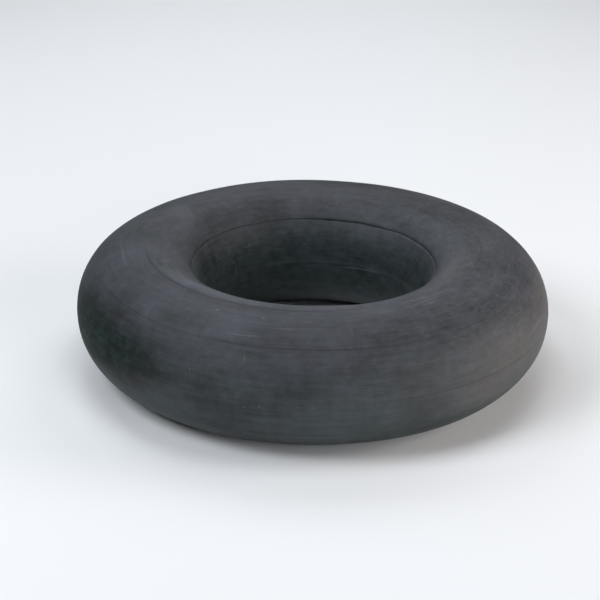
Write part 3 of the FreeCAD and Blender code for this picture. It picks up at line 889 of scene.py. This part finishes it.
def filled(start, end, radius, step):
    """Outline points at one radius, close together, for a thread or a knurl to be cut in."""
    count = max(round(abs(end - start) / step), 1)
    return [(start + (end - start) * i / count, radius) for i in range(count + 1)]


def around_axis(point, origin, axis):
    """(distance along, radius, angle round) of a point, measured from an axis."""
    along = (point - origin).dot(axis)
    outward = point - origin - axis * along
    angle = math.atan2(outward.dot(axis.cross(SIDE)), outward.dot(SIDE))
    return along, outward.length, angle


def cut_thread(bm, origin, axis, start, end, radius, pitch, depth):
    """Cuts a screw thread in the points that lie on a cylinder, and marks its roots as dirty."""
    dirt = bm.verts.layers.float.get("dirt") or bm.verts.layers.float.new("dirt")
    for point in bm.verts:
        along, reach, angle = around_axis(point.co, origin, axis)
        if abs(reach - radius) > ON_CYLINDER or not start <= along <= end:
            continue
        turn = (along / pitch - angle / (2 * math.pi)) % 1.0
        root = ramp_up(abs(turn - 0.5) * 2, 0.15, 0.85)
        ends = ramp_up(along, start, start + pitch) * (1 - ramp_up(along, end - pitch, end))
        outward = (point.co - origin - axis * along).normalized()
        point.co -= outward * depth * root * ends
        point[dirt] = root * ends


# %% [markdown]
# ## Metal and small rubber
# Brass on an old tube is never bright. It goes brown where it is not touched, stays yellow on edges, and
# holds dirt in its threads. Each metal is two tones mixed by slow noise, with turning marks and fine pits
# as bump.


# %% Materials of the valve
OLD_DIRT = colour(0.020, 0.017, 0.013)
TURNING_SCALE = 5200.0


def make_metal(name, bright, dull, roughness, cloud_scale):
    material, start, shader = new_material(name)
    spot = start.node("ShaderNodeTexCoord", output=3)
    tarnish = spot.cloud(cloud_scale, 5.0, 0.6, 0.3)
    pits = spot.cloud(cloud_scale * 9.0, 3.0, 0.6)
    turning = start.node("ShaderNodeCombineXYZ", {2: spot.parts()[2]}).cloud(TURNING_SCALE, 2.0, 0.5)
    dirt = start.node("ShaderNodeAttribute", output=2, attribute_name="dirt")
    toned = tarnish.rising(0.36, 0.66).mixed(bright, dull)
    grime = (dirt * 0.8 + pits.rising(0.62, 0.8) * 0.4).clamped()
    dirtied = grime.mixed(toned, OLD_DIRT)
    rough = roughness + (tarnish - 0.5) * 0.5 + grime * 0.25 + (turning - 0.5) * 0.12
    relief_height = pits * 0.5 + turning * 0.6
    bump = start.node("ShaderNodeBump", {"Strength": 0.35, "Distance": 0.00008, "Height": relief_height})
    metal = 1.0 - grime * 0.6
    feed(shader, Base_Color=dirtied, Roughness=rough.clamped(), Metallic=metal.clamped(), Normal=bump)
    return material


def make_small_rubber(name, dark, dusty, scale):
    material, start, shader = new_material(name)
    spot = start.node("ShaderNodeTexCoord", output=3)
    blotch = spot.cloud(scale, 5.0, 0.6, 0.3)
    grain = spot.cloud(scale * 12.0, 3.0, 0.6)
    dirt = start.node("ShaderNodeAttribute", output=2, attribute_name="dirt")
    dust = ((blotch - 0.35) * 2.2 + (grain - 0.5) * 0.9 - dirt * 0.5).clamped()
    rough = 0.62 + (blotch - 0.5) * 0.3 + (grain - 0.5) * 0.15
    bump_height = grain * 0.6 + blotch * 0.5
    bump = start.node("ShaderNodeBump", {"Strength": 0.3, "Distance": 0.0003, "Height": bump_height})
    base = dust.mixed(dark, dusty)
    feed(shader, Base_Color=base, Roughness=rough.clamped(), Normal=bump, Specular_IOR_Level=0.4)
    return material


YELLOW, BROWN = colour(0.62, 0.44, 0.19), colour(0.27, 0.18, 0.085)
LIGHT_YELLOW, LIGHT_BROWN = colour(0.68, 0.50, 0.24), colour(0.34, 0.24, 0.12)
brass = make_metal("worn_brass", YELLOW, BROWN, 0.42, 130.0)
cap_brass = make_metal("cap_brass", LIGHT_YELLOW, LIGHT_BROWN, 0.38, 190.0)
plate = make_metal("plated_steel", colour(0.50, 0.50, 0.49), colour(0.26, 0.24, 0.21), 0.45, 110.0)
core_steel = make_metal("core_steel", colour(0.60, 0.60, 0.60), colour(0.40, 0.39, 0.37), 0.3, 420.0)
PAD_COLOURS = colour(0.008, 0.011, 0.011), colour(0.030, 0.037, 0.037)
SEAL_COLOURS = colour(0.016, 0.013, 0.012), colour(0.060, 0.046, 0.040)
pad_rubber = make_small_rubber("pad_rubber", *PAD_COLOURS, 60.0)
seal_rubber = make_small_rubber("seal_rubber", *SEAL_COLOURS, 500.0)

# %% [markdown]
# ## The rubber pad
# The pad is vulcanised to the inner wall. It follows the wall's saddle shape, gets thin towards its edge so
# that it doesn't peel, and has a flat seat in its middle for the washer. Fine rings are moulded in the
# seat's rim. It is spun flat, and then every point is carried out to the wall behind it.


# %% Make the pad
SEAT_FACE = washer_low.y
# in millimetres, from the pad's outline
SEAT = 6.45
BEHIND_WALL = -0.6
PAD_BORE = 6.2
PAD_EDGE = 38.9
SEAT_RISE = SEAT * MM


def wall_at(x, z):
    """The y of the inner wall beside the valve, from the ring's section."""
    aside = abs(z - MID) / HALF_HEIGHT
    radius = CROWN - (CROWN - INNER) * (1 - aside**INNER_FULLNESS) ** (1 / INNER_FULLNESS)
    return -math.sqrt(radius**2 - x**2)


def pad_mesh(bm):
    hidden = [(PAD_BORE, BEHIND_WALL), (22.0, BEHIND_WALL), (PAD_EDGE, BEHIND_WALL)]
    rim = [(PAD_EDGE, 0.1), (38.2, 0.5), (36.0, 0.85), (33.0, 1.5), (30.0, 2.3), (27.4, 3.0), (25.6, 3.3)]
    seat = [(25.0, 3.5), (24.6, 6.1), (24.1, SEAT)]
    rings = []
    for radius in (23.0, 21.6, 20.2, 18.8):
        rings += [(radius + 0.45, SEAT), (radius, 6.2), (radius - 0.45, SEAT)]
    middle = [(16.0, SEAT), (9.0, SEAT), (6.25, 6.4), (PAD_BORE, BEHIND_WALL)]
    outline = [(rise * MM, radius * MM) for radius, rise in hidden + rim + seat + rings + middle]
    lathe(bm, outline, Vector((0, 0, MID)), OUT, 96)
    dirt = bm.verts.layers.float.new("dirt")
    for point in bm.verts:
        rise = point.co.y
        if rise > SEAT_RISE - 0.5 * MM:
            point.co.y = SEAT_FACE - SEAT_RISE + rise
            point[dirt] = 1.0 if rise < SEAT_RISE - 0.1 * MM else 0.1
        else:
            point.co.y = wall_at(point.co.x, point.co.z) + rise
            point[dirt] = 1.0 if rise > 3.4 * MM else 0.0
    bmesh.ops.recalc_face_normals(bm, faces=list(bm.faces))


pad = new_piece("valve_pad_moulded", pad_mesh, material=pad_rubber, finish="pad_rubber", sharp=SHARP)
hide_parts("valve_pad")

# %% [markdown]
# ## Washers
# The long bridge washer is a stamped plate, so its edges are slightly rounded. Two outlines are bridged,
# the face is pulled up to the plate's thickness, and the sharp edges are bevelled. The round washer is
# turned.


# %% Make the washers
WASHER_EDGE = 0.35 * MM


def bridge_mesh(bm):
    length = washer_high.x - washer_low.x
    width = washer_high.z - washer_low.z
    thick = washer_high.y - washer_low.y
    shift = (length - width) / 2
    outer = bmesh.ops.create_circle(bm, segments=96, radius=width / 2)["verts"]
    for point in outer:
        point.co.x += shift if point.co.x > -1e-6 else -shift
    bmesh.ops.create_circle(bm, segments=96, radius=SHANK_RADIUS + 0.2 * MM)
    made = bmesh.ops.bridge_loops(bm, edges=list(bm.edges))
    pulled = bmesh.ops.extrude_face_region(bm, geom=made["faces"])
    top = [item for item in pulled["geom"] if isinstance(item, bmesh.types.BMVert)]
    bmesh.ops.translate(bm, verts=top, vec=(0, 0, thick))
    bmesh.ops.recalc_face_normals(bm, faces=list(bm.faces))
    sharp = [edge for edge in bm.edges if edge.calc_face_angle(0.0) > 1.2]
    bmesh.ops.bevel(
        bm,
        geom=sharp,
        offset=WASHER_EDGE,
        affect="EDGES",
        segments=3,
        profile=0.5,
        material=-1,
    )
    turn = Matrix.Translation((0, washer_high.y, MID)) @ Matrix.Rotation(math.pi / 2, 4, "X")
    bmesh.ops.transform(bm, matrix=turn, verts=list(bm.verts))


bridge = new_piece("bridge_washer_stamped", bridge_mesh, material=plate, finish="plated_steel", sharp=SHARP)
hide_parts("bridge_washer")


def ring_washer_mesh(bm):
    inside = SHANK_RADIUS + 0.1 * MM
    outside = ring_high.x
    edge = 0.25 * MM
    low, high = ring_low.y, ring_high.y
    outline = [
        (low, inside),
        (low, outside - edge),
        (low + edge, outside),
        (high - edge, outside),
        (high, outside - edge),
        (high, inside + edge),
        (high - edge, inside),
        (low, inside),
    ]
    lathe(bm, outline, Vector((0, 0, MID)), OUT, 64)
    bmesh.ops.recalc_face_normals(bm, faces=list(bm.faces))


ring = new_piece("ring_washer_turned", ring_washer_mesh, material=plate, finish="plated_steel", sharp=SHARP)
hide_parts("ring_washer")

# %% [markdown]
# ## The stem
# The stem is one brass pipe with a screw thread at each end: a coarse one at the foot for the nut and a
# fine one at the mouth for the cap. The straight part and the foot are turned, and a circle spun through a
# quarter turn makes the bend between them. All three have the same number of steps, so their end rings meet
# and merge.

# %% Make the stem
STEM_STEPS = 40
MOUTH_PITCH = 0.794 * MM
SHANK_PITCH = 1.0 * MM
MOUTH_THREAD_DEPTH = 0.42 * MM
SHANK_THREAD_DEPTH = 0.5 * MM
THREAD_START = 0.4 * MM
FLANGE_RADIUS = 15.0 * MM
FLANGE_THICK = 2.5 * MM
SHANK_START = nut_low.y - 4 * MM


def stem_mesh(bm):
    top = STRAIGHT_TOP - MOUTH.z
    bore = [(20.2 * MM, 0.0), (20.2 * MM, 1.7 * MM), (19.4 * MM, 2.1 * MM), (8.5 * MM, 2.1 * MM)]
    bore += [(6.5 * MM, 2.6 * MM), (0.2 * MM, 2.6 * MM), (0.0, 2.8 * MM), (0.0, 3.45 * MM)]
    thread = filled(THREAD_START, 12.0 * MM, MOUTH_RADIUS, MOUTH_PITCH / 8)
    taper = [(13.1 * MM, STEM_RADIUS - 0.15 * MM), (13.4 * MM, STEM_RADIUS)]
    straight = [(top * part, STEM_RADIUS) for part in (0.4, 0.7, 1.0)]
    lathe(bm, bore + thread + taper + straight, MOUTH, UP, STEM_STEPS)
    cut_thread(bm, MOUTH, UP, THREAD_START, 11.6 * MM, MOUTH_RADIUS, MOUTH_PITCH, MOUTH_THREAD_DEPTH)

    bend_from = Matrix.Translation((0, STEM_LINE, STRAIGHT_TOP))
    circle = bmesh.ops.create_circle(bm, segments=STEM_STEPS, radius=STEM_RADIUS, matrix=bend_from)["verts"]
    loop = [edge for edge in bm.edges if edge.verts[0] in circle and edge.verts[1] in circle]
    bmesh.ops.spin(
        bm,
        geom=circle + loop,
        cent=(0, BEND_START, STRAIGHT_TOP),
        axis=(1, 0, 0),
        angle=math.pi / 2,
        steps=18,
    )
    foot = Vector((0, 0, MID))
    flange = stem_low.y
    shank_end = BEND_START - 0.5 * MM
    outline = [(flange, 0.0), (flange, 14.6 * MM), (flange + 0.4 * MM, FLANGE_RADIUS)]
    outline += [(flange + FLANGE_THICK, FLANGE_RADIUS), (flange + FLANGE_THICK, SHANK_RADIUS)]
    outline += filled(SHANK_START, shank_end, SHANK_RADIUS, SHANK_PITCH / 8)
    outline += [(BEND_START, STEM_RADIUS)]
    lathe(bm, outline, foot, OUT, STEM_STEPS)
    cut_thread(bm, foot, OUT, SHANK_START, shank_end, SHANK_RADIUS, SHANK_PITCH, SHANK_THREAD_DEPTH)
    bmesh.ops.remove_doubles(bm, verts=list(bm.verts), dist=4e-6)
    bmesh.ops.recalc_face_normals(bm, faces=list(bm.faces))
    print("open edges of the stem", sum(1 for edge in bm.edges if edge.is_boundary))


stem = new_piece("valve_stem_turned", stem_mesh, material=brass, finish="valve_brass", sharp=SHARP)
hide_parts("valve_stem")

# %% [markdown]
# ## The cap
# The cap is turned and then knurled, so that fingers can grip it: fine ridges run up its side. The knurl is
# cut like the thread, by pushing points in, but it depends only on how far round they are.

# %% Make the cap
CAP_RADIUS = (cap_high.x - cap_low.x) / 2
KNURLS = 30
KNURL_DEPTH = 0.32 * MM
CAP_GROOVES = 9


def cap_mesh(bm):
    low = cap_low.z - MOUTH.z
    high = cap_high.z - MOUTH.z
    inside = 3.95 * MM
    outline = [(low + 0.2 * MM, 0.0), (low + 0.2 * MM, 2.5 * MM), (low, 2.8 * MM), (low, 4.1 * MM)]
    outline += [(low + 0.45 * MM, 4.65 * MM), (low + 0.9 * MM, CAP_RADIUS)]
    outline += filled(low + 1.2 * MM, high - 0.9 * MM, CAP_RADIUS, 0.8 * MM)
    outline += [(high - 0.5 * MM, CAP_RADIUS), (high - 0.1 * MM, CAP_RADIUS - 0.25 * MM)]
    outline += [(high, CAP_RADIUS - 0.5 * MM), (high, inside + 0.2 * MM)]
    for groove in range(CAP_GROOVES):
        level = high - 0.3 * MM - groove * MOUTH_PITCH
        outline += [(level, inside), (level - MOUTH_PITCH / 2, inside + 0.2 * MM)]
    outline += [(-1.4 * MM, inside), (-1.4 * MM, 0.0)]
    lathe(bm, outline, MOUTH, UP, KNURLS * 6)
    dirt = bm.verts.layers.float.new("dirt")
    for point in bm.verts:
        along, reach, angle = around_axis(point.co, MOUTH, UP)
        if abs(reach - CAP_RADIUS) < 0.01 * MM:
            valley = 0.5 - 0.5 * math.cos(angle * KNURLS)
            ends = ramp_up(along, low + 1.2 * MM, low + 2.0 * MM)
            ends *= 1 - ramp_up(along, high - 1.7 * MM, high - 0.9 * MM)
            outward = Vector((point.co.x - MOUTH.x, point.co.y - MOUTH.y, 0)).normalized()
            point.co -= outward * KNURL_DEPTH * valley * ends
            point[dirt] = valley * ends * 0.8
    bmesh.ops.recalc_face_normals(bm, faces=list(bm.faces))
    print("open edges of the cap", sum(1 for edge in bm.edges if edge.is_boundary))


cap_look = {"material": cap_brass, "finish": "cap_brass", "sharp": SHARP}
cap = new_piece("valve_cap_knurled", cap_mesh, body="cap", **cap_look)
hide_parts("valve_cap")

# %% [markdown]
# ## The core
# The core is a small valve of its own. Its pin stands in the stem's mouth, and pressing it lets air out.
# The other pieces of the core keep their turned shapes from the frame and only get their finishes.

# %% Make the spring
SPRING_TURNS = 8
SPRING_TURN_STEPS = 22
WIRE_RADIUS = 0.14 * MM
COIL_RADIUS = 0.875 * MM


def spring_mesh(bm):
    rise = spring_high.z - spring_low.z - 2 * WIRE_RADIUS
    start = Vector((COIL_RADIUS, STEM_LINE, spring_low.z + WIRE_RADIUS))
    facing = Matrix.Translation(start) @ Matrix.Rotation(math.pi / 2, 4, "X")
    wire = bmesh.ops.create_circle(bm, segments=8, radius=WIRE_RADIUS, cap_ends=True, matrix=facing)["verts"]
    end_face = list(wire[0].link_faces)
    steps = SPRING_TURNS * SPRING_TURN_STEPS
    bmesh.ops.spin(
        bm,
        geom=end_face + list(end_face[0].edges) + wire,
        cent=(0, STEM_LINE, 0),
        axis=(0, 0, 1),
        dvec=(0, 0, rise / steps),
        angle=2 * math.pi * SPRING_TURNS,
        steps=steps,
    )
    bmesh.ops.remove_doubles(bm, verts=list(bm.verts), dist=1e-6)
    bmesh.ops.recalc_face_normals(bm, faces=list(bm.faces))
    print("open edges of the spring", sum(1 for edge in bm.edges if edge.is_boundary))


coil = new_piece("core_spring_wound", spring_mesh, material=core_steel, finish="core_steel")
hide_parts("core_spring")
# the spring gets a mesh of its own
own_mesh(coil)

# %% Finish the pieces that keep their shape
FINISHES = {
    "clamp_nut": brass,
    "core_plug": brass,
    "core_barrel": brass,
    "core_cup": brass,
    "core_pin": core_steel,
    "barrel_gasket": seal_rubber,
    "cup_gasket": seal_rubber,
    "cap_gasket": seal_rubber,
}
for name, material in FINISHES.items():
    node = frame["nodes"][name]
    for material_slot in node.material_slots:
        material_slot.link = "OBJECT"
        material_slot.material = material
    print(name, "now", material.name, "in", len(node.material_slots), "slot")

# %% [markdown]
# ## Floor and light
# The tube stands on a plain pale floor under soft studio light. Seven wide lamps stand round it, as soft
# boxes do in a studio. The strongest are on the right and high on the left, and none is low on the left, so
# that side and the hole stay dark. Each lamp is given by how bright it makes white paper that faces it,
# which is easier to judge than its power in watts. The bearings, rises and strengths below were solved by a
# least-squares program and copied in as it gave them. They were not chosen by eye; the tints were not
# solved.

# %% Light the scene
LAMP_DISTANCE = 4.2
LAMP_SIZE = 2.0
WARM = (1.09, 1.0, 0.94)
PLAIN = (0.97, 1.0, 1.04)
COOL = (0.95, 1.0, 1.06)
# name: (bearing it comes from, rise, strength, tint)
LAMPS = {
    "right_lamp": (90, 15, 0.519, WARM),
    "front_right_lamp": (30, 15, 0.357, PLAIN),
    "high_left_lamp": (300, 45, 0.533, COOL),
    "back_left_lamp": (210, 45, 0.245, COOL),
    "back_right_lamp": (150, 45, 0.179, PLAIN),
    "low_back_lamp": (180, 15, 0.059, PLAIN),
    "top_lamp": (0, 90, 0.242, COOL),
}


def soft_box(name, azimuth, rise, strength, tint):
    """A square lamp; strength is how bright it makes white paper that faces it."""
    turn = math.radians(azimuth)
    up = math.radians(rise)
    out = Vector((math.sin(turn) * math.cos(up), -math.cos(turn) * math.cos(up), math.sin(up)))
    lamp = bpy.data.lights.new(name, "AREA")
    lamp.shape = "SQUARE"
    lamp.size = LAMP_SIZE
    lamp.color = tint
    lamp.energy = strength * math.pi**2 * LAMP_DISTANCE**2
    light = bpy.data.objects.new(name, lamp)
    bpy.context.scene.collection.objects.link(light)
    light.location = out * LAMP_DISTANCE + Vector((0, 0, MID))
    light.rotation_mode = "QUATERNION"
    light.rotation_quaternion = (-out).to_track_quat("-Z", "Y")
    print(name, "power", round(lamp.energy))


for name, (azimuth, rise, strength, tint) in LAMPS.items():
    soft_box(name, azimuth, rise, strength, tint)


# %% Lay the floor
FLOOR_HALF = 30.0
FLOOR_GAP = 0.3 * MM
SKY_STRENGTH = 0.02


def floor_mesh(bm):
    bmesh.ops.create_grid(bm, x_segments=1, y_segments=1, size=FLOOR_HALF)


def make_floor():
    material, start, shader = new_material("pale_floor")
    feed(shader, Base_Color=colour(0.86, 0.86, 0.86), Roughness=0.9)
    bm = bmesh.new()
    floor_mesh(bm)
    mesh = bpy.data.meshes.new("floor")
    bm.to_mesh(mesh)
    bm.free()
    mesh.materials.append(material)
    floor = bpy.data.objects.new("floor", mesh)
    bpy.context.scene.collection.objects.link(floor)
    floor.location.z = -FLOOR_GAP


make_floor()
world = bpy.data.worlds.new("studio")
bpy.context.scene.world = world
world.use_nodes = True
world.node_tree.nodes["Background"].inputs[0].default_value = colour(1.0, 1.0, 1.0)
world.node_tree.nodes["Background"].inputs[1].default_value = SKY_STRENGTH
bpy.context.scene.view_settings.view_transform = "Standard"
